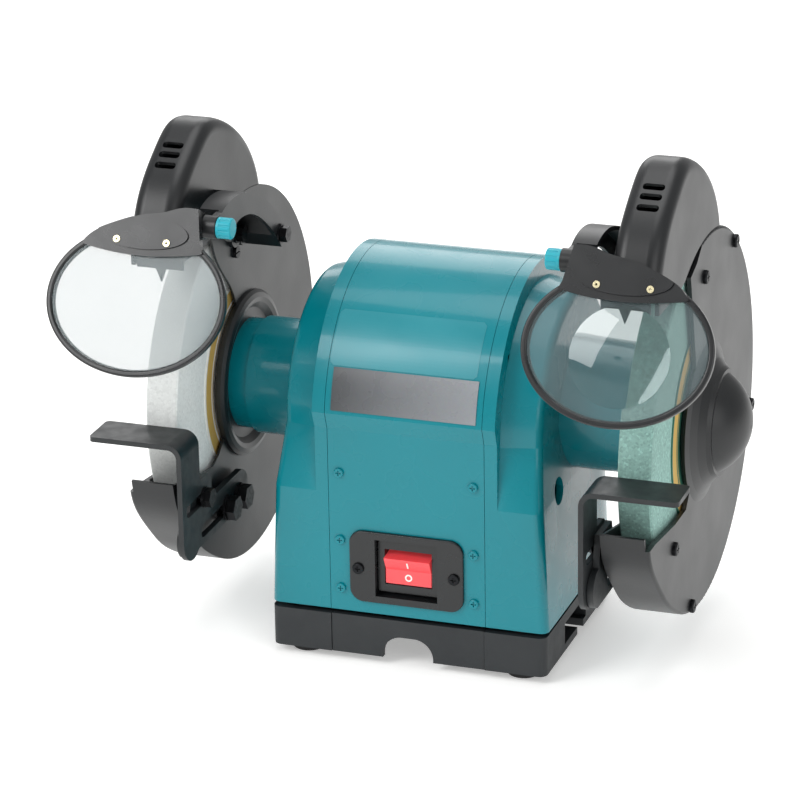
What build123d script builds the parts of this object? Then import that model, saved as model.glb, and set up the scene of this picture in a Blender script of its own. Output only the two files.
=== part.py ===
from build123d import *
import math
import os

# Eight inch twin-wheel bench grinder. Millimetres, +Z up, front is -Y, +X is the operator's right.
# Every piece is drawn about the spindle axis (y = 0, z = 0) and lifted by AXIS_HEIGHT when it is written,
# so the finished part stands on z = 0 with the middle of its housing on x = y = 0.
# The right-hand pieces are drawn, and the left-hand ones are their mirror images.

# Stand and motor housing
AXIS_HEIGHT = 140.5
BODY_BOTTOM = -109.0
BODY_HALF_Y = 81.4
DRUM_RADIUS = 86.3
KNEE_LOW = 3.3
KNEE_HIGH = 13.5
COVER_HALF_X = 46.9
COVER_SHEET = 2.0
RIM_IN = 47.2
RIM_OUT = 54.7
CASTING_WALL = 4.0
BELL_ROOT = 77.0
BELL_FACE = 69.5
FLANK_TOP = 77.0
FLANK_MIDDLE = 80.7
FLANK_BOTTOM = 84.0
SWEEP_START = -36.0
FRONT_CORNER = 5.0
REAR_SWEEP_FROM = 54.7
REAR_SWEEP_Y = 48.0
CAPACITOR = (55.0, -90.0)
NECK_RADIUS = 35.0
NECK_END = 115.1
SPIGOT_RADIUS = 33.0
COVER_SCREW_X = 40.4
GLAND_Z = -80.0
CORD_HOLE = 4.2
COVER_SCREW_Z = (-23.5, -65.0, -95.1)

# Base
BASE_TOP = -111.5
BASE_BOTTOM = -135.5
BASE_HALF_X = 83.4
BASE_HALF_Y = 82.9
BASE_WALL = 4.5
ARCH_HALF = 15.3
ARCH_FLAT = 4.6
ARCH_HEIGHT = 13.5
FEET = ((66.0, -68.0), (-66.0, -68.0), (59.0, 59.0), (-59.0, 59.0))
FOOT_RADIUS = 10.0
BENCH_SLOT_Y = -12.5
BENCH_SLOT_X = 72.0

# Switch
SWITCH_Z = -79.5
SWITCH_PLATE = 2.2
ROCKER_PIVOT_Y = -BODY_HALF_Y + 9.0
ROCKER_TILT = 13.0
ROCKER_HALF = 13.8
SWITCH_HALF = 16.8

# Spindle, bearings and wheels
SHAFT_RADIUS = 10.0
SPINDLE_RADIUS = 7.94
SHOULDER_X = 121.1
SHAFT_END = 170.5
BEARING_RADIUS = 23.5
BEARING_IN = 97.0
BEARING_OUT = 111.0
BALL_CIRCLE = 17.1
BALL_RADIUS = 3.4
STATOR_RADIUS = 70.0
STATOR_HALF = 34.0
ROTOR_RADIUS = 43.4
WHEEL_RADIUS = 102.5
WHEEL_IN = 131.0
WHEEL_OUT = 150.0
BLOTTER_RADIUS = 60.0
BLOTTER = 0.8
FLANGE_RADIUS = 40.0
OUTER_FLANGE = 4.0
NUT_FLATS = 24.0
NUT_HEIGHT = 11.0

# Wheel guards
GUARD_RADIUS = 112.2
GUARD_IN = 126.6
GUARD_OUT = 154.6
PLATE = 1.5
COVER_PLATE = 2.5
LIP = (-122.0, -26.0)
LOWER_EDGE = ((-118.0, -39.7), (-106.0, -56.7), (-93.0, -70.0))
RING_RADIUS = 50.0
HOOD_FOOT = 98.5
HOOD_ROUND = 8.0
HOOD_UNDER = GUARD_RADIUS + 0.3
HUB_RADIUS = 47.0
HUB_OUT = 165.5
CAP_RADIUS = 33.5
CAP_CENTRE = 148.0
SPIGOT_SCREWS = 28.5
HOOD_SEAM = math.atan2(107.2, 33.0)
FRONT_TOP = math.atan2(100.4, -50.0)
BRACKET_BOLTS = ((-4.6, 90.6), (-18.0, 93.0))
SLOTTED_SCREW = (-15.5, 80.5)
COVER_POSTS = ((60.3, 89.4), (-28.5, -104.1), (104.2, -27.9))
COVER_STUDS = ((-7.6, 89.4), (-67.9, -52.5))
ARRESTER_SCREW = (140.6, 118.0)

# Tool rests
REST_FRONT = -131.5
REST_BACK = -104.4
REST_TOP = 2.3
REST_SHEET = 3.0
REST_BEND = 8.5
LEG_IN = 117.0
REST_OUT = 173.5
LEG_BOTTOM = -72.0
REST_SLOT_Z = -40.7
REST_SLOT_WIDTH = 7.5
REST_BOLT_Y = -99.0
ARM_IN = LEG_IN + REST_SHEET + 0.3
ARM_OUT = 124.0
ARM_Z = -61.0
ARM_HALF = 11.5
ARM_SLOT_Z = -64.3
ARM_BOLTS_Y = (-56.0, -37.0)

# Eye shields and their brackets
HINGE_Y = -104.5
HINGE_Z = 125.7
SHIELD_LEAN = 27.0
SHIELD_X = 139.5
SHIELD_BACK = 8.5
SHIELD_DROP = 46.8
SHIELD_A = 53.8
SHIELD_B = 42.8
SHIELD_RIM = 3.5
KNOB_IN = 91.5
BOSS_IN = 100.2
BOSS_OUT = 108.2
BOSS_RADIUS = 6.6
WEB_IN = 102.0
WEB_SHEET = 2.5
FREE_FLANGE = 14.0
EYELETS_X = (-15.0, 15.0)
EYELET_Y = 33.5
EYELET_RADIUS = 1.3


# ---------- shared helpers ----------
def slab(face, x_from, x_to):
    """A face drawn in (y, z), extruded along the spindle from x_from to x_to."""
    return extrude(Plane.YZ.offset(x_from) * face, amount=x_to - x_from)


def rod(radius, x_from, x_to, y=0.0, z=0.0):
    """A round bar along X."""
    return slab(Pos(y, z) * Circle(radius), x_from, x_to)


def ring(outer, inner, x_from, x_to):
    """A ring about the spindle axis."""
    return rod(outer, x_from, x_to) - rod(inner, x_from - 1, x_to + 1)


def block(x_from, x_to, y_from, y_to, z_from, z_to):
    """A box by its limits."""
    size = Box(x_to - x_from, y_to - y_from, z_to - z_from)
    return Pos((x_from + x_to) / 2, (y_from + y_to) / 2, (z_from + z_to) / 2) * size


def post(radius, x, y, z_from, z_to):
    """A round bar along Z."""
    return Pos(x, y, (z_from + z_to) / 2) * Cylinder(radius, z_to - z_from)


def peg(radius, x, y_from, y_to, z):
    """A round bar along Y."""
    return Pos(x, (y_from + y_to) / 2, z) * (Rot(90, 0, 0) * Cylinder(radius, y_to - y_from))


def turned(points):
    """A closed outline of (x, radius) points, turned about the spindle axis."""
    return revolve(make_face(Polyline(*points, close=True)), Axis.X, 360)


def polygon(*points):
    """A flat face inside straight edges."""
    return make_face(Polyline(*points, close=True))


def hexagon_x(flats, x_from, x_to, y=0.0, z=0.0):
    """A hexagonal bar along X, with the given width across its flats."""
    return slab(Pos(y, z) * RegularPolygon(flats / math.sqrt(3), 6), x_from, x_to)


def slot_x(y_from, y_to, z, width, x_from, x_to):
    """A round-ended slot along Y, cut through along X."""
    return slab(Pos((y_from + y_to) / 2, z) * SlotOverall(y_to - y_from, width), x_from, x_to)


def one(shape):
    """The single solid of a shape that is one piece."""
    solids = shape.solids()
    if len(solids) != 1:
        print("solids:", [round(s.volume) for s in solids])
    return solids[0]


def twin(shape):
    """The left-hand twin of a right-hand piece."""
    return mirror(shape, about=Plane.YZ)


def pair(piece):
    """A piece and its twin, as two solids of one node."""
    return Compound([*piece.solids(), *twin(piece).solids()])


# ---------- motor housing ----------
def arch_face(half_y, radius, bottom):
    """Housing section in (y, z): upright walls, a small knee and a round top."""
    knee_y = math.sqrt(radius**2 - KNEE_HIGH**2)
    edges = [
        Line((-half_y, bottom), (half_y, bottom)),
        Polyline((half_y, bottom), (half_y, KNEE_LOW), (knee_y, KNEE_HIGH)),
        ThreePointArc((knee_y, KNEE_HIGH), (0, radius), (-knee_y, KNEE_HIGH)),
        Polyline((-knee_y, KNEE_HIGH), (-half_y, KNEE_LOW), (-half_y, bottom)),
    ]
    return make_face(edges)


def bell_top(inset):
    """Plan of the bell at the spindle's height: tapered front and rear, with small corners."""
    x, root, face = FLANK_TOP - inset, BELL_ROOT - inset, BELL_FACE - inset
    plan = polygon((RIM_IN + 1, -root), (x, -face), (x, face), (RIM_IN + 1, root))
    return fillet(plan.vertices().group_by(Axis.X)[-1], FRONT_CORNER - inset / 4)


def swept_plan(x_in, x_out, half_y, z):
    """Plan of one end of the housing or base: crisp front corner and swept rear corner."""
    front, sweep_x, sweep_y = FRONT_CORNER, x_out - REAR_SWEEP_FROM, REAR_SWEEP_Y
    edges = [
        Line((x_in, half_y), (x_in, -half_y)),
        Line((x_in, -half_y), (x_out - front, -half_y)),
        CenterArc((x_out - front, -half_y + front), front, -90, 90),
        Line((x_out, -half_y + front), (x_out, half_y - sweep_y)),
        EllipticalCenterArc((x_out - sweep_x, half_y - sweep_y), sweep_x, sweep_y, 0, arc_size=90),
        Line((x_out - sweep_x, half_y), (x_in, half_y)),
    ]
    return Pos(0, 0, z) * make_face(edges)


def bell(inset):
    """The bell of a casting: round over the top, flaring to an upright box lower down."""
    x, root, face = FLANK_TOP - inset, BELL_ROOT - inset, BELL_FACE - inset
    half = polygon((RIM_IN + 1, 0), (x, 0), (x, face), (RIM_IN + 1, root))
    half = fillet(half.vertices().group_by(Axis.X)[-1].sort_by(Axis.Y)[-1], FRONT_CORNER - inset / 4)
    dome = revolve(half, Axis.X, 180)
    middle = swept_plan(RIM_IN + 1, FLANK_MIDDLE - inset, BODY_HALF_Y - inset, SWEEP_START)
    bottom = swept_plan(RIM_IN + 1, FLANK_BOTTOM - inset, BODY_HALF_Y - inset, BODY_BOTTOM)
    return dome + loft([bell_top(inset), middle], ruled=True) + loft([middle, bottom], ruled=True)


def end_casting():
    """Cast end of the housing: rim, flared bell, neck with the bearing seat, and its inside lugs."""
    rim = slab(arch_face(BODY_HALF_Y, DRUM_RADIUS, BODY_BOTTOM), RIM_IN, RIM_OUT)
    shape = rim + bell(0)
    wall = CASTING_WALL
    hollow = arch_face(BODY_HALF_Y - wall, DRUM_RADIUS - wall, BODY_BOTTOM - 1)
    shape = shape - slab(hollow, RIM_IN - 1, RIM_OUT - wall)
    shape = shape - bell(wall) - block(RIM_IN - 1, RIM_OUT, -60, 60, BODY_BOTTOM - 1, 50)
    shape = shape + rod(NECK_RADIUS, 62.0, NECK_END) + rod(SPIGOT_RADIUS, NECK_END, GUARD_IN)
    shape = shape - rod(BEARING_RADIUS, 61.0, BEARING_OUT) - rod(14.0, 61.0, GUARD_IN + 1)
    for y, z in around(SPIGOT_SCREWS):
        shape = shape - rod(2.05, GUARD_IN - 10.0, GUARD_IN + 1, y, z)
    shape = shape - rod(8.2, FLANK_TOP - 8, FLANK_BOTTOM, -46.0, -34.5)
    inside = bell(1.0)
    for side in (-1, 1):
        y_outer = side * (BODY_HALF_Y - COVER_SHEET - 0.1)
        y_inner = side * (BODY_HALF_Y - 9.0)
        shape = shape + block(36.5, 51.5, min(y_outer, y_inner), max(y_outer, y_inner), -101.0, -17.0)
        for z in COVER_SCREW_Z:
            shape = shape - peg(1.5, COVER_SCREW_X, -90 if side < 0 else 70, -70 if side < 0 else 90, z)
    for x, y in FEET:
        if x > 0:
            far = 90 if y > 0 else -90
            lug = block(x - 7, 90, min(y - 7, far), max(y + 7, far), BODY_BOTTOM, BODY_BOTTOM + 14) & inside
            shape = shape + lug - post(2.35, x, y, BODY_BOTTOM - 1, BODY_BOTTOM + 13)
    return one(shape)


def around(radius, count=3, start=90.0):
    """Evenly spaced (y, z) places about the spindle axis."""
    angles = [math.radians(start + 360.0 * i / count) for i in range(count)]
    return [(radius * math.cos(a), radius * math.sin(a)) for a in angles]


def motor_cover():
    """Steel sheet wrapped over the motor between the castings."""
    t = COVER_SHEET
    sheet = slab(arch_face(BODY_HALF_Y, DRUM_RADIUS, BODY_BOTTOM), -COVER_HALF_X, COVER_HALF_X)
    sheet = sheet - slab(arch_face(BODY_HALF_Y - t, DRUM_RADIUS - t, BODY_BOTTOM - 1), -50, 50)
    sheet = sheet - block(-20.6, 20.6, -90, -75, SWITCH_Z - 19.4, SWITCH_Z + 19.4)
    for z in COVER_SCREW_Z:
        for x in (-COVER_SCREW_X, COVER_SCREW_X):
            sheet = sheet - peg(1.6, x, -100, 100, z)
    for x in (-29, 29):
        sheet = sheet - peg(1.5, x, -90, -70, SWITCH_Z - 1.2)
    sheet = sheet - peg(8.0, 0, 70, 90, GLAND_Z)
    return one(sheet)


def pan_screw(x, y_face, z, out, head=2.9):
    """A cross-head screw in a front (out = -1) or rear (out = 1) wall."""
    cap = peg(head, x, min(y_face, y_face + out * 1.6), max(y_face, y_face + out * 1.6), z)
    crown = cap.faces().sort_by(Axis.Y)[0 if out < 0 else -1].edges()
    cap = fillet(crown, 0.7)
    tip = y_face - out * 8.0
    shank = peg(1.45, x, min(y_face, tip), max(y_face, tip), z)
    cross = Pos(x, y_face + out * 1.6, z) * (Box(3.2, 1.6, 0.7) + Box(0.7, 1.6, 3.2))
    return one(cap + shank - cross)


def cover_screws():
    """Twelve screws that hold the sheet cover to the castings."""
    places = [(x, z, out) for out in (-1, 1) for z in COVER_SCREW_Z for x in (-COVER_SCREW_X, COVER_SCREW_X)]
    return Compound([pan_screw(x, out * BODY_HALF_Y, z, out) for x, z, out in places])


def rating_plate():
    """Blank plate curved to the drum."""
    shell = ring(DRUM_RADIUS + 0.5, DRUM_RADIUS + 0.02, -43.3, 43.3)
    low, high = math.radians(10.5), math.radians(27.0)
    corners = [(-120 * math.cos(angle), 120 * math.sin(angle)) for angle in (low, high)]
    wedge = polygon((0, 0), *corners)
    return one(shell & slab(wedge, -50, 50))


def switch_plate():
    """Black escutcheon with the well that holds the switch."""
    y = -BODY_HALF_Y
    plate = extrude(Plane.XZ * Pos(0, SWITCH_Z) * RectangleRounded(68.8, 44.0, 8.0), amount=SWITCH_PLATE)
    plate = fillet(plate.faces().sort_by(Axis.Y)[0].edges(), 0.8)
    plate = Pos(0, y, 0) * plate
    plate = plate - block(-18.8, 18.8, y - 5, y + 5, SWITCH_Z - 17.6, SWITCH_Z + 17.6)
    well = block(-20.2, 20.2, y - 0.2, y + 7.0, SWITCH_Z - 19.0, SWITCH_Z + 19.0)
    well = well - block(-18.8, 18.8, y - 5, y + 5.6, SWITCH_Z - 17.6, SWITCH_Z + 17.6)
    opening = SWITCH_HALF + 0.2
    plate = plate + well - block(-opening, opening, y - 5, y + 9, SWITCH_Z - 13.4, SWITCH_Z + 13.4)
    for x in (-29, 29):
        plate = plate - peg(1.5, x, y - 5, y + 5, SWITCH_Z - 1.2)
    return one(plate)


def switch_body():
    """Moulded switch module clipped in the escutcheon."""
    y = -BODY_HALF_Y
    bezel_half = SWITCH_HALF + 1.5
    bezel = block(-bezel_half, bezel_half, y + 2.2, y + 5.6, SWITCH_Z - 15.6, SWITCH_Z + 15.6)
    bezel = fillet(bezel.edges().filter_by(Axis.Y), 1.5)
    box = block(-SWITCH_HALF, SWITCH_HALF, y + 5.5, y + 28.0, SWITCH_Z - 13.2, SWITCH_Z + 13.2)
    hole_half = ROCKER_HALF + 0.5
    shape = bezel + box - block(-hole_half, hole_half, y, y + 22.0, SWITCH_Z - 10.9, SWITCH_Z + 10.9)
    for x in (-7.0, 7.0):
        shape = shape + block(x - 2.4, x + 2.4, y + 27.9, y + 36.0, SWITCH_Z - 0.4, SWITCH_Z + 0.4)
    return one(shape)


def switch_rocker():
    """Red rocker key with a hollowed face, tipped on its pivot to the off position."""
    key = polygon((-8.6, 8.6), (-6.6, 0), (-8.6, -8.6), (2.0, -7.5), (4.0, 0), (2.0, 7.5))
    shape = Rot(ROCKER_TILT, 0, 0) * slab(key, -ROCKER_HALF, ROCKER_HALF)
    return one(Pos(0, ROCKER_PIVOT_Y, SWITCH_Z) * shape)


def switch_screws():
    """Two dark screws that hold the escutcheon."""
    y = -BODY_HALF_Y - SWITCH_PLATE
    return Compound([pan_screw(x, y, SWITCH_Z - 1.2, -1, 3.4) for x in (-29, 29)])


def cord_gland():
    """Bushing in the rear wall where the supply lead enters."""
    y = BODY_HALF_Y
    shape = peg(10.5, 0, y, y + 3.0, GLAND_Z) + peg(7.9, 0, y - 9.0, y + 1.0, GLAND_Z)
    shape = shape + peg(6.8, 0, y + 2.0, y + 16.0, GLAND_Z)
    shape = shape + peg(10.0, 0, y - 6.0, y - COVER_SHEET, GLAND_Z)
    return one(shape - peg(CORD_HOLE, 0, y - 20, y + 20, GLAND_Z))


# ---------- base ----------
def base_block(inset, z_from, z_to):
    """The base's footprint, inset evenly, between two heights."""
    end = swept_plan(0, BASE_HALF_X - inset, BASE_HALF_Y - inset, z_from)
    end = extrude(end, amount=z_to - z_from, dir=(0, 0, 1))
    return end + twin(end)


def base_tray():
    """Black base, hollow underneath, with bosses for the feet and a bench-bolt slot in each side."""
    shape = base_block(0, BASE_BOTTOM, BASE_TOP) - base_block(BASE_WALL, BASE_BOTTOM - 1, BASE_TOP - 4.0)
    for side in (-1, 1):
        x = side * 70.0
        shape = shape + block(x - 11.0, x + 11.0, -48.0, 3.0, BASE_BOTTOM, BASE_TOP)
        pocket_in, pocket_out = sorted((side * 63.0, side * 100.0))
        shape = shape - block(pocket_in, pocket_out, -44.0, -1.0, BASE_BOTTOM + 4.5, -118.0)
        slot_in, slot_out = sorted((side * BENCH_SLOT_X, side * 100.0))
        shape = shape - block(slot_in, slot_out, BENCH_SLOT_Y - 6, BENCH_SLOT_Y + 6, BASE_BOTTOM - 1, -127.0)
        shape = shape - post(6.0, side * BENCH_SLOT_X, BENCH_SLOT_Y, BASE_BOTTOM - 1, -127.0)
    shape = shape - block(-46.7, 46.7, -100, -BASE_HALF_Y + BASE_WALL, BASE_BOTTOM - 1, BASE_TOP + 1)
    for x, y in FEET:
        shape = shape + post(9.5, x, y, BASE_BOTTOM, BODY_BOTTOM)
    for x, y in FEET:
        shape = shape - post(2.55, x, y, BASE_BOTTOM - 1, BODY_BOTTOM + 1)
    return one(shape)


def base_front_panel():
    """Front panel between the ends of the base, arched in the middle."""
    y = -BASE_HALF_Y
    panel = block(-46.4, 46.4, y + 0.5, y + BASE_WALL, BASE_BOTTOM, BASE_TOP)
    foot, flat, shoulder = ARCH_HALF, ARCH_FLAT, 12.0
    low, top = BASE_BOTTOM, BASE_BOTTOM + ARCH_HEIGHT
    arch = make_face(
        [
            Polyline((-foot, low), (-foot, low - 2), (foot, low - 2), (foot, low)),
            ThreePointArc((foot, low), (shoulder, low + 10.0), (flat, top)),
            Line((flat, top), (-flat, top)),
            ThreePointArc((-flat, top), (-shoulder, low + 10.0), (-foot, low)),
        ]
    )
    return one(panel - Pos(0, y + 10, 0) * extrude(Plane.XZ * arch, amount=20))


def rubber_feet():
    """Four turned rubber feet under the base."""
    found = []
    for x, y in FEET:
        foot = post(FOOT_RADIUS, x, y, -AXIS_HEIGHT, BASE_BOTTOM)
        foot = fillet(foot.faces().sort_by(Axis.Z)[0].edges(), 1.5)
        foot = foot - post(5.4, x, y, -AXIS_HEIGHT - 1, BASE_BOTTOM - 1.2) - post(2.7, x, y, -150, -130)
        found.append(one(foot))
    return Compound(found)


def base_screws():
    """Four screws through the feet and the base into the castings."""
    found = []
    for x, y in FEET:
        head = post(4.4, x, y, BASE_BOTTOM - 3.9, BASE_BOTTOM - 1.2)
        shank = post(2.3, x, y, BASE_BOTTOM - 1.5, BODY_BOTTOM + 11)
        found.append(one(head + shank - Pos(x, y, BASE_BOTTOM - 3.9) * Box(1.0, 6.0, 2.4)))
    return Compound(found)


# ---------- motor ----------
def stator_core():
    """Laminated stator with its slots."""
    slot = block(-60, 60, 48.0, 60.0, -2.6, 2.6) + block(-60, 60, 43.0, 49.0, -1.0, 1.0)
    core = ring(STATOR_RADIUS, 44.0, -STATOR_HALF, STATOR_HALF)
    for i in range(24):
        core = core - Rot(15 * i, 0, 0) * slot
    return one(core)


def stator_windings():
    """Varnished end windings, one ring at each end of the core."""
    near, far = STATOR_HALF + 0.2, STATOR_HALF + 13.0
    coil = turned([(near, 47.0), (far - 2, 49.0), (far, 54.0), (far - 2, 60.0), (near, 62.0)])
    return pair(one(coil))


def stator_cradle():
    """Two steel saddles that carry the stator on the base."""
    saddle = block(-22.0, -14.0, -38.0, 38.0, BASE_TOP, -50.0) - rod(STATOR_RADIUS + 0.02, -30, 0)
    return pair(one(saddle))


def rotor():
    """Squirrel-cage rotor with cooling fins on its end rings."""
    shape = ring(ROTOR_RADIUS, SHAFT_RADIUS, -STATOR_HALF, STATOR_HALF) + ring(42.0, 27.0, -41.0, 41.0)
    fin = block(-48.0, 48.0, 29.0, 40.0, -1.2, 1.2) - block(-40.9, 40.9, 0, 60, -5, 5)
    for i in range(8):
        shape = shape + Rot(45 * i, 0, 0) * fin
    return one(shape)


def shaft():
    """Stepped spindle with a wheel seat at each end."""
    return one(rod(SHAFT_RADIUS, -SHOULDER_X, SHOULDER_X) + rod(SPINDLE_RADIUS, -SHAFT_END, SHAFT_END))


def ball_track():
    """The groove that the balls run in."""
    middle = (BEARING_IN + BEARING_OUT) / 2
    section = Pos(middle, BALL_CIRCLE) * Circle(BALL_RADIUS + 0.05)
    return revolve(section, Axis.X, 360)


def bearing_outer_races():
    """Outer races, pressed in the castings."""
    return pair(one(ring(BEARING_RADIUS, 19.0, BEARING_IN, BEARING_OUT) - ball_track()))


def bearing_inner_races():
    """Inner races on the shaft."""
    return pair(one(ring(15.2, SHAFT_RADIUS, BEARING_IN, BEARING_OUT) - ball_track()))


def bearing_balls():
    """Eight balls in each bearing."""
    middle = (BEARING_IN + BEARING_OUT) / 2
    places = [(side * middle, y, z) for side in (-1, 1) for y, z in around(BALL_CIRCLE, 8)]
    balls = [Pos(*place) * Sphere(BALL_RADIUS) for place in places]
    return Compound([b.solids()[0] for b in balls])


def capacitor():
    """Run capacitor lying behind the stator."""
    y, z = CAPACITOR
    can = fillet(rod(12.5, -31.0, 31.0, y, z).edges(), 1.5)
    for dy in (-4.5, 4.5):
        can = can + block(30.9, 38.0, y + dy - 0.5, y + dy + 0.5, z - 3, z + 3)
    return one(can)


def capacitor_clip():
    """Strap that holds the capacitor down on the base."""
    y, z = CAPACITOR
    strap = rod(13.7, -8.0, 8.0, y, z) - rod(12.52, -9.0, 9.0, y, z)
    foot = block(-8.0, 8.0, y - 22.0, y + 13.0, BASE_TOP, BASE_TOP + 1.5)
    web = block(-8.0, 8.0, y - 2.0, y + 2.0, BASE_TOP, z - 12.6)
    return one(strap + foot + web)


# ---------- wheels and flanges ----------
def grinding_wheel():
    """Bonded abrasive wheel with softened corners."""
    wheel = ring(WHEEL_RADIUS, SPINDLE_RADIUS + 0.05, WHEEL_IN, WHEEL_OUT)
    rims = wheel.edges().filter_by(GeomType.CIRCLE).sort_by(lambda e: e.radius)[-2:]
    return one(chamfer(rims, 1.0))


def blotters():
    """Card washers, one on each face of a wheel."""
    bore = SPINDLE_RADIUS + 0.5
    inside = ring(BLOTTER_RADIUS, bore, WHEEL_IN - BLOTTER, WHEEL_IN)
    outside = ring(BLOTTER_RADIUS, bore, WHEEL_OUT, WHEEL_OUT + BLOTTER)
    return Compound([one(inside), one(outside)])


def inner_flange():
    """Flange with a hub that seats on the shaft shoulder."""
    face = WHEEL_IN - BLOTTER
    bore = SPINDLE_RADIUS + 0.02
    profile = [
        (SHOULDER_X, bore), (SHOULDER_X, 12.4), (face - 1.5, 12.4), (face - 1.5, FLANGE_RADIUS - 1),
        (face - 0.8, FLANGE_RADIUS), (face, FLANGE_RADIUS), (face, 26.0),
        (face - 0.5, 25.0), (face - 0.5, bore),
    ]
    return one(turned(profile))


def outer_flange():
    """Dished flange under the nut."""
    face = WHEEL_OUT + BLOTTER
    end = face + OUTER_FLANGE
    bore = SPINDLE_RADIUS + 0.02
    profile = [
        (face, FLANGE_RADIUS), (face + 0.9, FLANGE_RADIUS),
        (face + 1.2, FLANGE_RADIUS - 1), (face + 1.2, 31.0),
        (end, 26.0), (end, bore), (face + 1.6, bore), (face + 1.6, 25.0), (face, 28.0),
    ]
    return one(turned(profile))


def spindle_nut():
    """Hexagon nut, with its outer corners turned off."""
    start = WHEEL_OUT + BLOTTER + OUTER_FLANGE
    end = start + NUT_HEIGHT
    corner = NUT_FLATS / math.sqrt(3)
    envelope = turned([(start, 0), (start, corner), (end - 1.2, corner), (end, corner - 2.0), (end, 0)])
    return one((hexagon_x(NUT_FLATS, start, end) & envelope) - rod(SPINDLE_RADIUS + 0.02, start - 1, end + 1))


# ---------- wheel guards ----------
def rim_edges(scale, end_angle):
    """Guard rim from the front lip under the wheel and up the back to end_angle, about the spindle axis."""
    radius = GUARD_RADIUS * scale
    lip = (LIP[0] * scale, LIP[1] * scale)
    low = [(y * scale, z * scale) for y, z in LOWER_EDGE]
    start = math.radians(-118.0)
    middle = (start + end_angle) / 2
    join = (radius * math.cos(start), radius * math.sin(start))
    end = (radius * math.cos(end_angle), radius * math.sin(end_angle))
    onward = (math.cos(math.radians(-28)), math.sin(math.radians(-28)))
    lower = Spline(lip, *low, join, tangents=[(0.25, -1.0), onward])
    around_back = ThreePointArc(join, (radius * math.cos(middle), radius * math.sin(middle)), end)
    return lower, around_back, lip, end


def rim_sector(scale, end_angle):
    """The rim's outline closed through the spindle axis."""
    lower, back, lip, end = rim_edges(scale, end_angle)
    return make_face([lower, back, Polyline(end, (0, 0), lip)])




def guard_plate_face():
    """Motor-side plate of the guard, open towards the front."""
    lower, back, lip, end = rim_edges(1.0, FRONT_TOP)
    upper_cut = Spline(end, (-39.2, 78.7), (-24.6, 62.9), (-14.0, 40.0))
    lower_cut = Polyline(
        (-14.0, 40.0), (-20.0, -15.0), (-36.9, -23.5), (-50.7, -34.1), (-60.6, -37.9), (-76.2, -35.7), lip
    )
    return make_face([lower, back, upper_cut, lower_cut]) + Circle(RING_RADIUS)


def guard_body():
    """Motor-side plate, rim band, lip wall, neck bead and the pads for the tool-rest arm."""
    plate = slab(guard_plate_face(), GUARD_IN, GUARD_IN + PLATE)
    cover_at = GUARD_OUT - COVER_PLATE
    thin = 1 - PLATE / GUARD_RADIUS
    band = slab(rim_sector(1.0, HOOD_SEAM) - rim_sector(thin, HOOD_SEAM) - Circle(80), GUARD_IN, cover_at)
    lip_wall = rim_sector(1.0, math.radians(-110)) - Circle(WHEEL_RADIUS + 2.0)
    lip_wall = lip_wall - polygon((-130, -34.5), (-60, -34.5), (-60, 0), (-130, 0))
    lip_wall = slab(lip_wall, cover_at - PLATE, cover_at)
    bead = turned(
        [
            (GUARD_IN + 0.1, 39.0), (GUARD_IN + 0.1, RING_RADIUS), (GUARD_IN - 1.8, RING_RADIUS),
            (GUARD_IN - 3.6, 48.3), (GUARD_IN - 4.2, 45.5), (GUARD_IN - 3.4, 42.5), (GUARD_IN - 1.2, 40.2),
        ]
    )
    shape = plate + band + lip_wall + bead
    for y in ARM_BOLTS_Y:
        shape = shape + rod(8.0, ARM_OUT + 0.1, GUARD_IN + 0.1, y, ARM_SLOT_Z)
    for y in ARM_BOLTS_Y:
        shape = shape - rod(3.9, ARM_OUT - 1, GUARD_IN + 5, y, ARM_SLOT_Z)
    shape = shape - rod(22.0, GUARD_IN - 1, GUARD_IN + 5)
    for y, z in around(SPIGOT_SCREWS):
        shape = shape - Pos(0, y, z) * countersink(0.1)
    for y, z in BRACKET_BOLTS:
        shape = shape - rod(2.6, GUARD_IN - 1, GUARD_IN + 5, y, z)
    shape = shape - rod(2.1, GUARD_IN - 1, GUARD_IN + 5, *SLOTTED_SCREW)
    for y, z in COVER_POSTS:
        post_in = rod(4.0, GUARD_IN + 0.5, cover_at, y, z) - rod(2.1, cover_at - 14, cover_at + 1, y, z)
        shape = shape + post_in
    return one(shape)




def countersink(grow):
    """Countersunk hole or screw through the guard plate at the axis, grown by a clearance."""
    points = [
        (GUARD_IN - 9.0, 0), (GUARD_IN - 9.0, 2.0 + grow / 2), (GUARD_IN + 0.1, 2.0 + grow / 2),
        (GUARD_IN + PLATE, 3.6 + grow / 2), (GUARD_IN + PLATE, 0),
    ]
    return turned(points)


def guard_screws():
    """Countersunk screws from inside each guard into the neck spigots, and a slotted one above."""
    y, z = SLOTTED_SCREW
    head = rod(3.6, GUARD_IN - 2.2, GUARD_IN, y, z)
    head = head - block(GUARD_IN - 3, GUARD_IN - 1.3, y - 4, y + 4, z - 0.5, z + 0.5)
    found = [one(head + rod(2.05, GUARD_IN - 0.1, GUARD_IN + PLATE + 0.6, y, z))]
    for y, z in around(SPIGOT_SCREWS):
        found.append(one(Pos(0, y, z) * countersink(0.0)))
    return Compound([s for f in found for s in pair(f).solids()])


def cover_face():
    """Outer cover, open towards the front."""
    lower, back, lip, end = rim_edges(1.0, math.atan2(109.9, -14.2))
    front = make_face([lower, back, Polyline(end, (-160, 109.9), (-160, LIP[1]), lip)])
    front_cut = make_face(
        [
            Polyline((-14.2, 120), (-14.2, 109.9), (-24.7, 102.7), (-37.6, 98.6)),
            Spline((-37.6, 98.6), (-28.0, 60.0), (-20.9, 20.1), (-23.4, -21.7)),
            Polyline((-23.4, -21.7), (-34.0, -29.8), (-42.4, -38.8), (-66.3, -38.5), (-108.7, -33.6)),
            Polyline((-108.7, -33.6), (-200, -33.6), (-200, 120), (-14.2, 120)),
        ]
    )
    return front - front_cut


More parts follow.
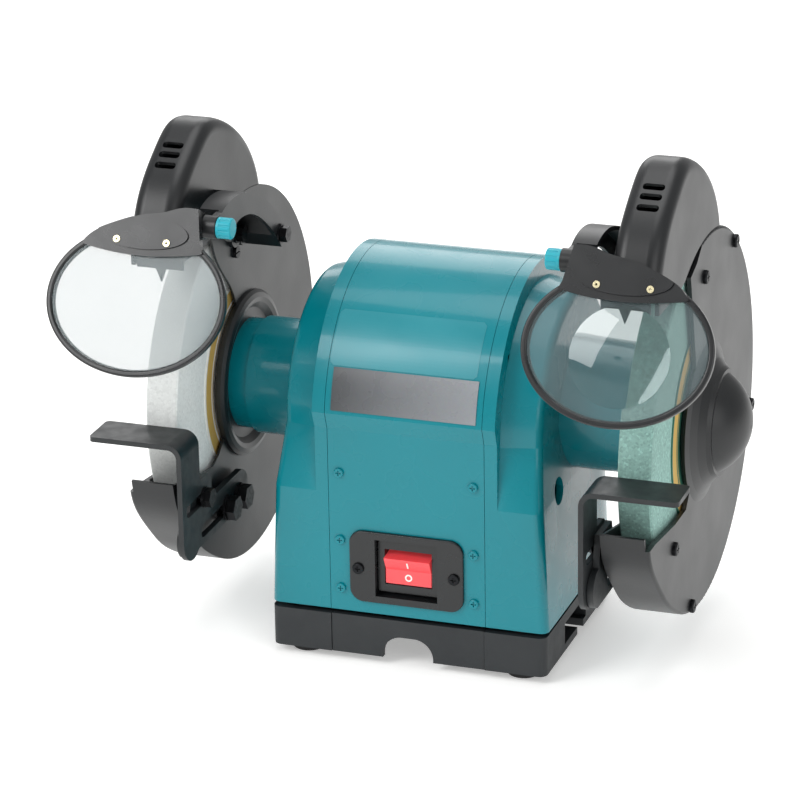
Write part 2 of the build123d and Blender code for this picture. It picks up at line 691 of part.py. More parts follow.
def outer_cover():
    """Outer side cover with the flared hub over the nut."""
    cover_at = GUARD_OUT - COVER_PLATE
    plate = slab(cover_face() - Circle(HUB_RADIUS - 2.0), cover_at, GUARD_OUT)
    rim = plate.faces().sort_by(Axis.X)[-1].edges().filter_by(GeomType.CIRCLE).sort_by(lambda e: e.radius)[-1]
    plate = fillet(rim, 1.8)
    hub = turned(
        [
            (cover_at, HUB_RADIUS - 1.5), (GUARD_OUT, HUB_RADIUS),
            (156.2, 42.5), (159.2, 37.0), (163.0, 32.5),
            (HUB_OUT, 31.0), (HUB_OUT, 28.05), (162.6, 28.05), (162.6, 30.0), (157.2, 35.6), (154.2, 41.0),
        ]
    )
    shape = plate + hub
    for y, z in COVER_POSTS + COVER_STUDS:
        shape = shape - rod(2.1, cover_at - 1, GUARD_OUT + 1, y, z)
    return one(shape)


def hub_cap():
    """Domed cap pressed in the hub of the cover."""
    inner_radius = CAP_RADIUS - 2.0
    rise = HUB_OUT - CAP_CENTRE
    outer_edge = math.sqrt(CAP_RADIUS**2 - rise**2)
    inner_edge = math.sqrt(inner_radius**2 - rise**2)
    slant = math.sqrt(0.5)
    skirt = HUB_OUT - 4.5
    profile = make_face(
        [
            ThreePointArc(
                (HUB_OUT, outer_edge),
                (CAP_CENTRE + CAP_RADIUS * slant, CAP_RADIUS * slant),
                (CAP_CENTRE + CAP_RADIUS, 0),
            ),
            Line((CAP_CENTRE + CAP_RADIUS, 0), (CAP_CENTRE + inner_radius, 0)),
            ThreePointArc(
                (CAP_CENTRE + inner_radius, 0),
                (CAP_CENTRE + inner_radius * slant, inner_radius * slant),
                (HUB_OUT, inner_edge),
            ),
            Polyline((HUB_OUT, inner_edge), (skirt, inner_edge), (skirt, 28.0), (HUB_OUT, 28.0)),
            Line((HUB_OUT, 28.0), (HUB_OUT, outer_edge)),
        ]
    )
    return one(revolve(profile, Axis.X, 360))


def cover_screw(y, z, length):
    """Pan-head screw in the outer cover."""
    head = fillet(rod(4.0, GUARD_OUT, GUARD_OUT + 2.4, y, z).faces().sort_by(Axis.X)[-1].edges(), 1.0)
    cross = Pos(GUARD_OUT + 2.4, y, z) * (Box(2.0, 4.8, 0.9) + Box(2.0, 0.9, 4.8))
    return one(head + rod(2.05, GUARD_OUT - length, GUARD_OUT + 0.1, y, z) - cross)


def arrester_screw():
    """The same screw, holding the spark arrester to the front of the hood."""
    x, z = ARRESTER_SCREW
    y = HINGE_Y - 1.3
    head = fillet(peg(4.0, x, y - 2.4, y, z).faces().sort_by(Axis.Y)[0].edges(), 1.0)
    cross = Pos(x, y - 2.4, z) * (Box(4.8, 2.0, 0.9) + Box(0.9, 2.0, 4.8))
    return one(head + peg(2.05, x, y - 0.1, y + 6.0, z) - cross)


def guard_cover_screws():
    """Pan-head screws of the outer covers and the spark arresters."""
    found = [cover_screw(y, z, 14.0) for y, z in COVER_POSTS]
    found += [cover_screw(y, z, COVER_PLATE) for y, z in COVER_STUDS]
    found.append(arrester_screw())
    return Compound([s for f in found for s in pair(f).solids()])


def hood_top():
    """Top line of the hood from its front corner, over the wheel, to the rear seam."""
    seam = (HOOD_UNDER * math.cos(HOOD_SEAM), HOOD_UNDER * math.sin(HOOD_SEAM))
    return Spline(
        (-104, 124), (-91.7, 142), (-67, 160), (-46, 168.5), (-25.5, 164.5), (5, 148.5), (24.5, 128), seam
    )


def hood_outside():
    """Side outline of the hood."""
    top = hood_top()
    crown = (HOOD_UNDER * math.cos(math.radians(92)), HOOD_UNDER * math.sin(math.radians(92)))
    front = (HOOD_UNDER * math.cos(FRONT_TOP), HOOD_UNDER * math.sin(FRONT_TOP))
    under = Polyline(front, (-62.0, HOOD_FOOT), (-104.0, HOOD_FOOT), top @ 0)
    return make_face([top, ThreePointArc(top @ 1, crown, front), under])


def hood_inside(wall):
    """Side outline of the hollow, open underneath."""
    top = hood_top()
    points = []
    for i in range(9):
        along = top % (i / 8)
        points.append((top @ (i / 8)) + Vector(along.Y, -along.X) * wall)
    curve = Spline(*points)
    first, last = points[0], points[-1]
    return make_face([curve, Polyline(last, (last.X, 80), (first.X, 80), first)])


def hood():
    """Hollow hood over the top of the wheel, with three vents in its front slope."""
    wall = 2.5
    shape = slab(hood_outside(), GUARD_IN, GUARD_OUT)
    shape = fillet(shape.edges().filter_by(GeomType.BSPLINE), HOOD_ROUND)
    shape = shape - slab(hood_inside(HOOD_ROUND), GUARD_IN + wall, GUARD_OUT - wall)
    shape = shape - slab(hood_inside(wall), GUARD_IN + HOOD_ROUND, GUARD_OUT - HOOD_ROUND)
    shape = shape - block(GUARD_IN + wall, GUARD_OUT - wall, -110, -95, HOOD_FOOT - 5, 112)
    vent = fillet(Box(12.5, 4.6, 24.0).edges().filter_by(Axis.Z), 2.0)
    for y, z in ((-67.4, 159.0), (-73.6, 155.2), (-80.0, 150.7)):
        shape = shape - Pos(141.1, y, z) * (Rot(33, 0, 0) * vent)
    shape = shape - peg(2.1, ARRESTER_SCREW[0], -120, -95, ARRESTER_SCREW[1])
    return one(shape)


def spark_arrester():
    """Adjustable plate across the front of the hood, with a pointed tab."""
    y_front, y_back = HINGE_Y - 1.3, HINGE_Y + 0.2
    plate = polygon(
        (122.0, 125.0), (150.0, 125.0), (150.0, 98.5),
        (138.5, 98.5), (135.5, 90.5), (132.5, 98.5), (122.0, 98.5),
    )
    shape = Pos(0, y_back, 0) * extrude(Plane.XZ * plate, amount=y_back - y_front)
    slot = extrude(Plane.XZ * (Rot(0, 0, 90) * SlotOverall(13.0, 4.6)), amount=12)
    slot = Pos(ARRESTER_SCREW[0], y_back + 5, ARRESTER_SCREW[1]) * slot
    return one(shape - slot)


# ---------- eye shields ----------
def bracket_outer():
    """Upper curve of the shield bracket."""
    return Spline(
        (-100.0, 127.5), (-90.5, 132.2), (-80.0, 134.2), (-58.2, 132.0),
        (-32.4, 121.6), (-12.0, 107.5), (0.8, 94.0),
    )


def shield_bracket():
    """Crescent bracket on the guard plate that carries the shield's clamp boss."""
    web_face = make_face(
        [
            bracket_outer(),
            Line((0.8, 94.0), (-2.8, 81.8)),
            Spline(
                (-2.8, 81.8), (-15.1, 94.7), (-30.5, 106.8), (-49.0, 116.2),
                (-62.0, 118.8), (-74.0, 117.5), (-82.0, 110.0),
            ),
            Polyline((-82.0, 110.0), (-98.0, 119.5), (-100.0, 127.5)),
        ]
    )
    web = slab(web_face, WEB_IN, WEB_IN + WEB_SHEET)
    flange = slab(web_face - Pos(0, -2.6) * web_face, WEB_IN, GUARD_IN)
    limit = slab(polygon((-92, 150), (10, 150), (10, 90), (-6, 80), (-75, 120), (-92, 125)), WEB_IN, GUARD_IN)
    limit = limit - block(WEB_IN + FREE_FLANGE, GUARD_IN + 1, -93, -45, 100, 151)
    flange = (flange & limit).solids().sort_by(SortBy.VOLUME)[-1]
    tail = slab(web_face & polygon((-12, 60), (10, 60), (10, 130), (-12, 130)), WEB_IN, GUARD_IN)
    foot = slab(Pos(BRACKET_BOLTS[0]) * Circle(9.0), GUARD_IN - 2.5, GUARD_IN)
    ear = slab(Pos(BRACKET_BOLTS[1]) * Circle(8.5), GUARD_IN - 2.5, GUARD_IN)
    ear = ear + slab(polygon((-26, 93), (-28, 118), (-6, 102), (-10, 93)), GUARD_IN - 2.5, GUARD_IN)
    neck = polygon((HINGE_Y, HINGE_Z - 5), (-90, 119), (-90, 131), (HINGE_Y, HINGE_Z + 5))
    neck = slab(neck, WEB_IN, WEB_IN + 4)
    boss = rod(BOSS_RADIUS, BOSS_IN, BOSS_OUT, HINGE_Y, HINGE_Z)
    shape = web + flange + tail + foot + ear + neck + boss
    shape = shape - rod(2.6, BOSS_IN - 1, BOSS_OUT + 1, HINGE_Y, HINGE_Z)
    for y, z in BRACKET_BOLTS:
        shape = shape - rod(2.6, WEB_IN - 1, GUARD_IN + 1, y, z)
    return one(shape)


def bracket_bolts():
    """Hex bolts with washers that hold each bracket to its guard."""
    found = []
    for (y, z), seat in zip(BRACKET_BOLTS, (WEB_IN, GUARD_IN - 2.5)):
        bolt = hexagon_x(8.5, seat - 5.2, seat - 1.2, y, z) + rod(5.8, seat - 1.2, seat, y, z)
        found.append(one(bolt + rod(2.5, seat - 0.1, GUARD_IN + PLATE + 0.6, y, z)))
    return Compound([s for f in found for s in pair(f).solids()])


def shield_plane():
    """Plane of a shield: local x is +X, local y runs up the shield, its normal faces the operator."""
    lean = math.radians(SHIELD_LEAN)
    up_y, up_z = math.sin(lean), math.cos(lean)
    y = HINGE_Y - SHIELD_DROP * up_y - SHIELD_BACK * up_z
    z = HINGE_Z - SHIELD_DROP * up_z + SHIELD_BACK * up_y
    return Plane(origin=(SHIELD_X, y, z), x_dir=(1, 0, 0), z_dir=(0, -up_z, up_y))


def on_shield(face, low, high):
    """A face drawn in the shield's plane, extruded from low to high along its normal."""
    return shield_plane() * extrude(Pos(0, 0, low) * face, amount=high - low)


def brow_face():
    """Outline of the brow over the lens; the motor side is at negative x."""
    return make_face(
        [
            ThreePointArc((-36.5, 29.5), (0, 25.5), (36.5, 29.5)),
            Spline(
                (36.5, 29.5), (31.0, 36.0), (18.0, 43.0), (0.0, 49.0),
                (-10.0, 50.8), (-20.0, 54.0), (-26.0, 54.6),
            ),
            Polyline((-26.0, 54.6), (-30.5, 54.4), (-34.5, 34.0), (-36.5, 29.5)),
        ]
    )


def shield_frame():
    """Oval rim with the brow and the ear that turns on the clamp screw."""
    rim = Ellipse(SHIELD_A, SHIELD_B) - Ellipse(SHIELD_A - SHIELD_RIM, SHIELD_B - SHIELD_RIM)
    shape = fillet(extrude(Pos(0, 0, -2.2) * rim, amount=4.4).edges(), 1.1)
    shape = shield_plane() * shape
    lip = Ellipse(SHIELD_A - SHIELD_RIM + 0.1, SHIELD_B - SHIELD_RIM + 0.1)
    lip = lip - Ellipse(SHIELD_A - SHIELD_RIM - 0.9, SHIELD_B - SHIELD_RIM - 0.9)
    shape = shape + on_shield(lip, -1.9, -1.1)
    behind = brow_face() - Ellipse(SHIELD_A - SHIELD_RIM, SHIELD_B - SHIELD_RIM)
    shape = shape + on_shield(brow_face(), 1.15, 3.6) + on_shield(behind, -1.5, 1.2)
    pad = Pos(0, 38.2) * Ellipse(27.0, 9.2)
    shape = shape + on_shield(pad & brow_face(), 3.5, 4.6)
    ear_x = BOSS_OUT + 0.4
    ear = rod(7.6, ear_x, ear_x + 4.2, HINGE_Y, HINGE_Z)
    link_face = polygon((-39.0 + 8.5, 40.0), (-39.0 + 8.5, 54.0), (-26.2, 54.0), (-26.2, 40.0))
    link = on_shield(link_face, -9.0, 1.5)
    shape = shape + (link - rod(2.6, 90, 130, HINGE_Y, HINGE_Z)) + ear
    shape = shape - rod(2.6, 90, 130, HINGE_Y, HINGE_Z)
    for x in EYELETS_X:
        shape = shape - on_shield(Pos(x, EYELET_Y) * Circle(EYELET_RADIUS + 0.05), -3, 6)
    return one(shape)


def shield_lens():
    """Clear oval lens in the rim."""
    lens = Ellipse(SHIELD_A - SHIELD_RIM - 0.05, SHIELD_B - SHIELD_RIM - 0.05)
    shape = on_shield(lens, -1.05, 1.1)
    for x in EYELETS_X:
        shape = shape - on_shield(Pos(x, EYELET_Y) * Circle(EYELET_RADIUS + 0.05), -3, 6)
    return one(shape)


def magnifier():
    """Round magnifying lens bonded to the front of the right shield."""
    radius, height = 28.0, 3.2
    ball = (radius**2 + height**2) / (2 * height)
    cap = Pos(1.8, -4.0, 1.15 + height - ball) * Sphere(ball)
    trim = Pos(1.8, -4.0, 1.15) * extrude(Circle(radius), amount=10)
    return one(shield_plane() * (cap & trim))


def eyelets():
    """Two hollow rivets through the brow and the lens."""
    found = []
    for x in EYELETS_X:
        shape = on_shield(Pos(x, EYELET_Y) * Circle(2.0), 4.6, 5.2)
        shape = shape + on_shield(Pos(x, EYELET_Y) * Circle(EYELET_RADIUS), -1.05, 4.8)
        shape = shape - on_shield(Pos(x, EYELET_Y) * Circle(0.7), -3, 6)
        found.append(one(shape))
    return Compound(found)


def shield_knob():
    """Ribbed clamp knob with its screw through the boss and the ear."""
    knob = rod(6.0, KNOB_IN, BOSS_IN - 0.3, HINGE_Y, HINGE_Z)
    knob = fillet(knob.faces().sort_by(Axis.X)[0].edges(), 1.2)
    for i in range(12):
        a = math.radians(30 * i)
        y, z = HINGE_Y + 6.3 * math.cos(a), HINGE_Z + 6.3 * math.sin(a)
        knob = knob - rod(0.8, KNOB_IN - 1, BOSS_IN - 1.8, y, z)
    screw = rod(2.5, BOSS_IN - 1.0, BOSS_OUT + 6.0, HINGE_Y, HINGE_Z)
    return one(knob + screw)


# ---------- tool rests ----------
def tool_rest():
    """Bent steel rest: table, leg and the slotted ear."""
    leg_out = LEG_IN + REST_SHEET
    table = block(LEG_IN, REST_OUT, REST_FRONT, REST_BACK, REST_TOP - REST_SHEET, REST_TOP)
    bend_x, bend_z = LEG_IN + REST_BEND, REST_TOP - REST_BEND
    leg = block(LEG_IN, leg_out, REST_FRONT, REST_BACK, LEG_BOTTOM, REST_TOP)
    corner = block(LEG_IN - 1, bend_x, -200, 0, bend_z, REST_TOP + 1)
    bend = peg(REST_BEND, bend_x, REST_FRONT, REST_BACK, bend_z)
    bend = bend - peg(REST_BEND - REST_SHEET, bend_x, -200, 0, bend_z)
    bend = bend & corner
    middle = (REST_FRONT + REST_BACK) / 2
    half = (REST_BACK - REST_FRONT) / 2
    round_end = slab(Pos(middle, LEG_BOTTOM + half) * Circle(half), LEG_IN, leg_out)
    leg = leg - block(LEG_IN - 1, leg_out + 1, -200, 0, LEG_BOTTOM - 1, LEG_BOTTOM + half) + round_end
    ear = slab(Pos(-101.0, -40.5) * RectangleRounded(28.0, 24.0, 6.0), LEG_IN, leg_out)
    shape = (table - corner) + (leg - corner) + bend + ear
    front = shape.edges().filter_by(Axis.Z).sort_by(Axis.X)[-2:]
    shape = fillet(front, 3.0)
    return one(shape - slot_x(-126.0, -92.0, REST_SLOT_Z, REST_SLOT_WIDTH, LEG_IN - 1, leg_out + 1))


def rest_arm():
    """Flat arm with a long slot, between the guard pads and the rest's leg."""
    front, rear = -114.0, -34.0
    outline = make_face(
        [
            ThreePointArc((front, ARM_Z - ARM_HALF), (front - ARM_HALF, ARM_Z), (front, ARM_Z + ARM_HALF)),
            Polyline((front, ARM_Z + ARM_HALF), (-110.0, -31.0), (-88.0, -31.0), (-84.0, ARM_Z + ARM_HALF)),
            Line((-84.0, ARM_Z + ARM_HALF), (rear, ARM_Z + ARM_HALF)),
            ThreePointArc((rear, ARM_Z + ARM_HALF), (rear + ARM_HALF, ARM_Z), (rear, ARM_Z - ARM_HALF)),
            Line((rear, ARM_Z - ARM_HALF), (front, ARM_Z - ARM_HALF)),
        ]
    )
    shape = slab(outline, ARM_IN, ARM_OUT)
    shape = shape - slot_x(-97.0, -29.0, ARM_SLOT_Z, 8.2, ARM_IN - 1, ARM_OUT + 1)
    return one(shape - rod(3.05, ARM_IN - 1, ARM_OUT + 1, REST_BOLT_Y, REST_SLOT_Z))


def arm_bolts():
    """Hex bolts with washers that clamp each arm to its guard."""
    found = []
    for y in ARM_BOLTS_Y:
        x = ARM_IN - 0.1
        head = hexagon_x(13.0, x - 6.8, x - 1.6, y, ARM_SLOT_Z) + rod(8.0, x - 1.6, x, y, ARM_SLOT_Z)
        nut = hexagon_x(10.0, GUARD_IN + PLATE, GUARD_IN + PLATE + 1.2, y, ARM_SLOT_Z)
        found.append(one(head + nut + rod(3.85, x - 1.6, GUARD_IN + PLATE + 0.6, y, ARM_SLOT_Z)))
    return Compound([s for f in found for s in pair(f).solids()])


def rest_bolt():
    """Hex bolt with its washer that clamps the rest to the arm."""
    x = LEG_IN - 0.1
    y, z = REST_BOLT_Y, REST_SLOT_Z
    head = hexagon_x(10.0, x - 5.4, x - 1.4, y, z) + rod(6.2, x - 1.4, x, y, z)
    return one(head + rod(3.0, x - 1.4, ARM_OUT + 0.6, y, z))


def left_and_right(name, piece):
    """Two nodes, one for each side."""
    return {f"right_{name}": piece, f"left_{name}": twin(piece)}


def all_parts():
    """Every node by name, drawn about the spindle axis."""
    parts = {
        "motor_cover": motor_cover(),
        "cover_screws": cover_screws(),
        "rating_plate": rating_plate(),
        "switch_plate": switch_plate(),
        "switch_body": switch_body(),
        "switch_rocker": switch_rocker(),
        "switch_screws": switch_screws(),
        "cord_gland": cord_gland(),
        "base_tray": base_tray(),
        "base_front_panel": base_front_panel(),
        "rubber_feet": rubber_feet(),
        "base_screws": base_screws(),
        "stator_core": stator_core(),
        "stator_windings": stator_windings(),
        "stator_cradle": stator_cradle(),
        "rotor": rotor(),
        "shaft": shaft(),
        "bearing_outer_races": bearing_outer_races(),
        "bearing_inner_races": bearing_inner_races(),
        "bearing_balls": bearing_balls(),
        "capacitor": capacitor(),
        "capacitor_clip": capacitor_clip(),
        "inner_flanges": pair(inner_flange()),
        "outer_flanges": pair(outer_flange()),
        "spindle_nuts": pair(spindle_nut()),
        "hub_caps": pair(hub_cap()),
        "wheel_blotters": pair(blotters()),
        "guard_screws": guard_screws(),
        "guard_cover_screws": guard_cover_screws(),
        "bracket_bolts": bracket_bolts(),
        "arm_bolts": arm_bolts(),
        "magnifier": magnifier(),
    }
    parts |= left_and_right("end_casting", end_casting())
    parts |= left_and_right("wheel", grinding_wheel())
    parts |= left_and_right("guard_body", guard_body())
    parts |= left_and_right("outer_cover", outer_cover())
    parts |= left_and_right("hood", hood())
    parts |= left_and_right("spark_arrester", spark_arrester())
    parts |= left_and_right("shield_bracket", shield_bracket())
    parts |= left_and_right("shield_frame", shield_frame())
    parts |= left_and_right("shield_lens", shield_lens())
    parts |= left_and_right("shield_eyelets", eyelets())
    parts |= left_and_right("shield_knob", shield_knob())
    parts |= left_and_right("tool_rest", tool_rest())
    parts |= left_and_right("rest_arm", rest_arm())
    parts |= left_and_right("rest_bolt", rest_bolt())
    return parts


if __name__ == "__main__":
    os.makedirs("parts", exist_ok=True)
    for name, piece in all_parts().items():
        export_step(Pos(0, 0, AXIS_HEIGHT) * piece, f"parts/{name}.step")
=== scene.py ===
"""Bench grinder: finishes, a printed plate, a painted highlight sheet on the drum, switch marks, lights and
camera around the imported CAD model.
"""

import math

import bmesh
import bpy
from mathutils import Matrix, Vector


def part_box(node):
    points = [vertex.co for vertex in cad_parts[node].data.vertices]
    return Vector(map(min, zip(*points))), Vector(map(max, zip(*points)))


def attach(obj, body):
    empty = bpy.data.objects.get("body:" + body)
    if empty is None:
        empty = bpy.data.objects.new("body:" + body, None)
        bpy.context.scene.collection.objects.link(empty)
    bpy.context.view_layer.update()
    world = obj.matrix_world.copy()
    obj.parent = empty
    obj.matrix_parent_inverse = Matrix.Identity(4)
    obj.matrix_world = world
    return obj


bl_info = {
    "name": "Bench Grinder",
    "version": (1, 0, 0),
    "blender": (4, 5, 0),
    "location": "3D View > Sidebar > Grinder",
    "description": "Finishes, printed films and a studio for a twin-wheel bench grinder",
    "category": "Object",
}

MM = 0.001
SIDES = ("right", "left")

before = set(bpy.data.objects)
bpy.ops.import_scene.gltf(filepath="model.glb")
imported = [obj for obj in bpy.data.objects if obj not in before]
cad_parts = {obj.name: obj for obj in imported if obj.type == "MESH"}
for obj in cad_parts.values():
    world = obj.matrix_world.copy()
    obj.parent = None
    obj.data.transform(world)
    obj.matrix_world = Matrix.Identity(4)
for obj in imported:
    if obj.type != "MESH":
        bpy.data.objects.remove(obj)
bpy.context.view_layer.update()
SHAFT_LOW, SHAFT_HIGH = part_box("shaft")
AXIS = (SHAFT_LOW + SHAFT_HIGH) / 2
PLATE_LOW, PLATE_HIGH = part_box("rating_plate")
COVER_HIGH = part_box("motor_cover")[1]

# Blender's noise keeps mostly between these two values
NOISE_LOW, NOISE_HIGH = 0.3, 0.7

# Gold printing on the card discs, from and to, as shares of their radius
THIN_RING = (0.80, 0.815)
BROAD_BORDER = (0.84, 0.975)


def linear(code):
    """An sRGB hex colour as linear red, green and blue."""
    parts = [int(code[i : i + 2], 16) / 255 for i in (1, 3, 5)]
    return [c / 12.92 if c <= 0.04045 else ((c + 0.055) / 1.055) ** 2.4 for c in parts]


def colour(name, description, code):
    """A colour that the user can change."""
    return bpy.props.FloatVectorProperty(
        name=name, description=description, subtype="COLOR", size=3, min=0, max=1, default=linear(code)
    )


def length(name, description, value_mm):
    """A length that the user can change, kept in metres."""
    return bpy.props.FloatProperty(
        name=name, description=description, subtype="DISTANCE", unit="LENGTH", min=0, default=value_mm * MM
    )


class GrinderColours(bpy.types.PropertyGroup):
    """Colours of the finishes."""

    enamel: colour("Enamel", "Gloss enamel of the housing", "#00808C")
    guard: colour("Guard", "Powder coat of the guards, hoods and brackets", "#17191B")
    rest: colour("Tool rest", "Black paint of the rests and their arms", "#1B1F21")
    base: colour("Base", "Moulded base", "#1F2326")
    switch: colour("Switch", "Moulded plate and body of the switch", "#151719")
    rocker: colour("Rocker", "Tinted key of the switch", "#F0484E")
    knob: colour("Knob", "Nylon clamp knobs", "#1AA5B5")
    white_grit: colour("White grit", "White fused alumina", "#EEF1EF")
    green_grit: colour("Green grit", "Green silicon carbide", "#8FB9B0")
    lens: colour("Lens", "Polycarbonate of the eye shields", "#6E7D80")
    plate: colour("Plate", "Printed plate on the drum", "#7C7F83")
    # This colour is a painted highlight: the lighter teal of the band up the drum that faces the key light
    film: colour("Film", "Tinted film above the plate", "#0E8591")
    gold: colour("Border", "Printed border of the wheels' card discs", "#C9A65A")
    floor: colour("Floor", "Studio floor", "#F6F6F5")


class GrinderSizes(bpy.types.PropertyGroup):
    """Sizes of the surface textures and of the small printed pieces."""

    peel: length("Orange peel", "Width of the waves that sprayed enamel dries in", 4.0)
    powder: length("Powder grain", "Width of the grains in the powder coat, drawn coarse enough to show", 1.6)
    spark: length("Mould texture", "Width of the texture that the mould leaves on plastic", 1.2)
    grit: length("Grit", "Width of the abrasive grains, drawn coarse enough to show", 1.3)
    # The thickness of the sheet that carries the painted highlight on the drum
    film: length("Film", "Thickness of the printed film", 0.15)
    mark: length("Mark", "Height of the marks on the switch key", 4.4)


def add_node(tree, kind, inputs=None, **settings):
    """Adds a node. Settings are its properties, and inputs are values or the sockets that feed it."""
    made = tree.nodes.new(kind)
    for name, value in settings.items():
        setattr(made, name, value)
    for name, value in (inputs or {}).items():
        if isinstance(value, bpy.types.NodeSocket):
            tree.links.new(value, made.inputs[name])
        else:
            made.inputs[name].default_value = value
    return made


def new_material(name):
    """A material with a bare shader: the material, its tree, the shader and the object coordinates."""
    made = bpy.data.materials.new(name)
    made.use_nodes = True
    tree = made.node_tree
    place = add_node(tree, "ShaderNodeTexCoord").outputs["Object"]
    return made, tree, tree.nodes["Principled BSDF"], place


def rgba(values):
    """A colour as a shader socket takes it."""
    return (*values, 1.0)


def shade(values, factor):
    """The same colour, lighter or darker."""
    return rgba([min(1.0, v * factor) for v in values])


def patchy_colour(tree, place, values, patch, spread):
    """A colour that drifts a little lighter and darker over patches of a given width."""
    drift = add_node(tree, "ShaderNodeTexNoise", {"Vector": place, "Scale": 1 / patch, "Detail": 3.0})
    mix = add_node(tree, "ShaderNodeMix", {"Factor": drift.outputs["Fac"]}, data_type="RGBA")
    mix.inputs["A"].default_value = shade(values, 1 - spread)
    mix.inputs["B"].default_value = shade(values, 1 + spread)
    return mix.outputs["Result"]


def patchy_value(tree, place, low, high, patch):
    """A number that drifts between low and high over patches of a given width."""
    drift = add_node(tree, "ShaderNodeTexNoise", {"Vector": place, "Scale": 1 / patch, "Detail": 2.0})
    spans = {"From Min": NOISE_LOW, "From Max": NOISE_HIGH, "To Min": low, "To Max": high}
    spread = add_node(tree, "ShaderNodeMapRange", {"Value": drift.outputs["Fac"], **spans})
    return spread.outputs["Result"]


def dimpled(tree, place, width, depth, strength=1.0):
    """A surface normal with dimples of a given width and depth."""
    waves = add_node(tree, "ShaderNodeTexNoise", {"Vector": place, "Scale": 1 / width, "Detail": 2.0})
    bump = add_node(
        tree, "ShaderNodeBump", {"Height": waves.outputs["Fac"], "Distance": depth, "Strength": strength}
    )
    return bump.outputs["Normal"]


def coated(name, values, patch, spread, roughness, dimple, **constants):
    """A painted, moulded or plated surface, from its colour drift, roughness drift and dimples."""
    made, tree, shader, place = new_material(name)
    tree.links.new(patchy_colour(tree, place, values, patch, spread), shader.inputs["Base Color"])
    tree.links.new(patchy_value(tree, place, *roughness, patch / 2), shader.inputs["Roughness"])
    tree.links.new(dimpled(tree, place, *dimple), shader.inputs["Normal"])
    for socket, value in constants.items():
        shader.inputs[socket.replace("_", " ")].default_value = value
    return made


def gloss_enamel(scene):
    """Stoved alkyd enamel, sprayed: a wet gloss over orange peel that breaks up the highlights."""
    sizes = scene.grinder_sizes
    return coated(
        "gloss_enamel",
        scene.grinder_colours.enamel,
        patch=45 * MM,
        spread=0.05,
        roughness=(0.22, 0.32),
        dimple=(sizes.peel, 0.05 * MM, 0.35),
        IOR=1.5,
        Specular_IOR_Level=0.3,
        Coat_Weight=0.3,
        Coat_Roughness=0.06,
        Coat_IOR=1.45,
    )


def powder_coat(scene):
    """Satin black powder coat, baked: a soft sheen over fine grain, with no sharp reflections."""
    return coated(
        "satin_powder_coat",
        scene.grinder_colours.guard,
        patch=60 * MM,
        spread=0.04,
        roughness=(0.36, 0.41),
        dimple=(scene.grinder_sizes.powder, 0.06 * MM, 0.5),
        IOR=1.5,
    )


def rest_paint(scene):
    """Black dip paint on plate steel: even and slightly glossier than the guards."""
    return coated(
        "dipped_black_paint",
        scene.grinder_colours.rest,
        patch=18 * MM,
        spread=0.10,
        roughness=(0.38, 0.52),
        dimple=(2.6 * MM, 0.06 * MM, 0.5),
        IOR=1.5,
    )


def moulded_base(scene):
    """Glass-filled ABS from a spark-eroded mould: dull, with a grain that scatters the light."""
    return coated(
        "spark_textured_abs",
        scene.grinder_colours.base,
        patch=30 * MM,
        spread=0.08,
        roughness=(0.50, 0.62),
        dimple=(scene.grinder_sizes.spark, 0.10 * MM, 0.6),
        IOR=1.53,
    )


def moulded_black(scene):
    """Polished black ABS: a smooth moulding with a low gloss."""
    return coated(
        "polished_black_abs",
        scene.grinder_colours.switch,
        patch=30 * MM,
        spread=0.04,
        roughness=(0.26, 0.31),
        dimple=(scene.grinder_sizes.spark, 0.02 * MM, 0.25),
        IOR=1.53,
    )


def tinted_key(scene):
    """Red polycarbonate, moulded: some light gets into it, and a weak emission adds a painted glow under its
    gloss.
    """
    red = scene.grinder_colours.rocker
    return coated(
        "lit_red_polycarbonate",
        red,
        patch=6 * MM,
        spread=0.12,
        roughness=(0.16, 0.26),
        dimple=(3 * MM, 0.02 * MM, 0.3),
        IOR=1.58,
        Subsurface_Weight=0.3,
        Subsurface_Scale=3 * MM,
        # A painted glow: this emission stands in for light scattered inside the key
        Emission_Color=rgba(red),
        Emission_Strength=0.25,
    )


def nylon_knob(scene):
    """Dyed nylon, moulded: an even colour, waxy rather than glossy."""
    return coated(
        "dyed_nylon",
        scene.grinder_colours.knob,
        patch=8 * MM,
        spread=0.07,
        roughness=(0.34, 0.44),
        dimple=(1.2 * MM, 0.04 * MM, 0.4),
        IOR=1.53,
        Subsurface_Weight=0.15,
        Subsurface_Scale=1 * MM,
    )


def black_oxide():
    """Blackened steel, oiled: nearly black, with a metal's own reflections."""
    return coated(
        "oiled_black_oxide_steel",
        linear("#2A2B2D"),
        patch=4 * MM,
        spread=0.25,
        roughness=(0.34, 0.50),
        dimple=(1.0 * MM, 0.04 * MM, 0.4),
        Metallic=1.0,
    )


def zinc_plate():
    """Bright zinc on steel: pale grey metal with faint clouding from the plating bath."""
    return coated(
        "bright_zinc_plate",
        linear("#B9BCC0"),
        patch=6 * MM,
        spread=0.12,
        roughness=(0.26, 0.40),
        dimple=(1.5 * MM, 0.03 * MM, 0.3),
        Metallic=1.0,
    )


def eyelet_brass():
    """Nickel-washed brass eyelets: warm, pale and bright."""
    return coated(
        "washed_brass",
        linear("#E8DDB4"),
        patch=2 * MM,
        spread=0.10,
        roughness=(0.22, 0.32),
        dimple=(0.8 * MM, 0.02 * MM, 0.3),
        Metallic=0.8,
    )


def moulded_rubber():
    """Nitrile rubber, moulded: dull black with a bloom of grey."""
    return coated(
        "moulded_nitrile_rubber",
        linear("#1C1C1D"),
        patch=5 * MM,
        spread=0.20,
        roughness=(0.70, 0.85),
        dimple=(1.0 * MM, 0.08 * MM, 0.5),
        IOR=1.52,
    )


def spun_aluminium():
    """Drawn aluminium can: pale metal with a soft, streaky sheen."""
    return coated(
        "drawn_aluminium",
        linear("#C9CBCE"),
        patch=9 * MM,
        spread=0.08,
        roughness=(0.30, 0.42),
        dimple=(1.5 * MM, 0.02 * MM, 0.3),
        Metallic=1.0,
    )


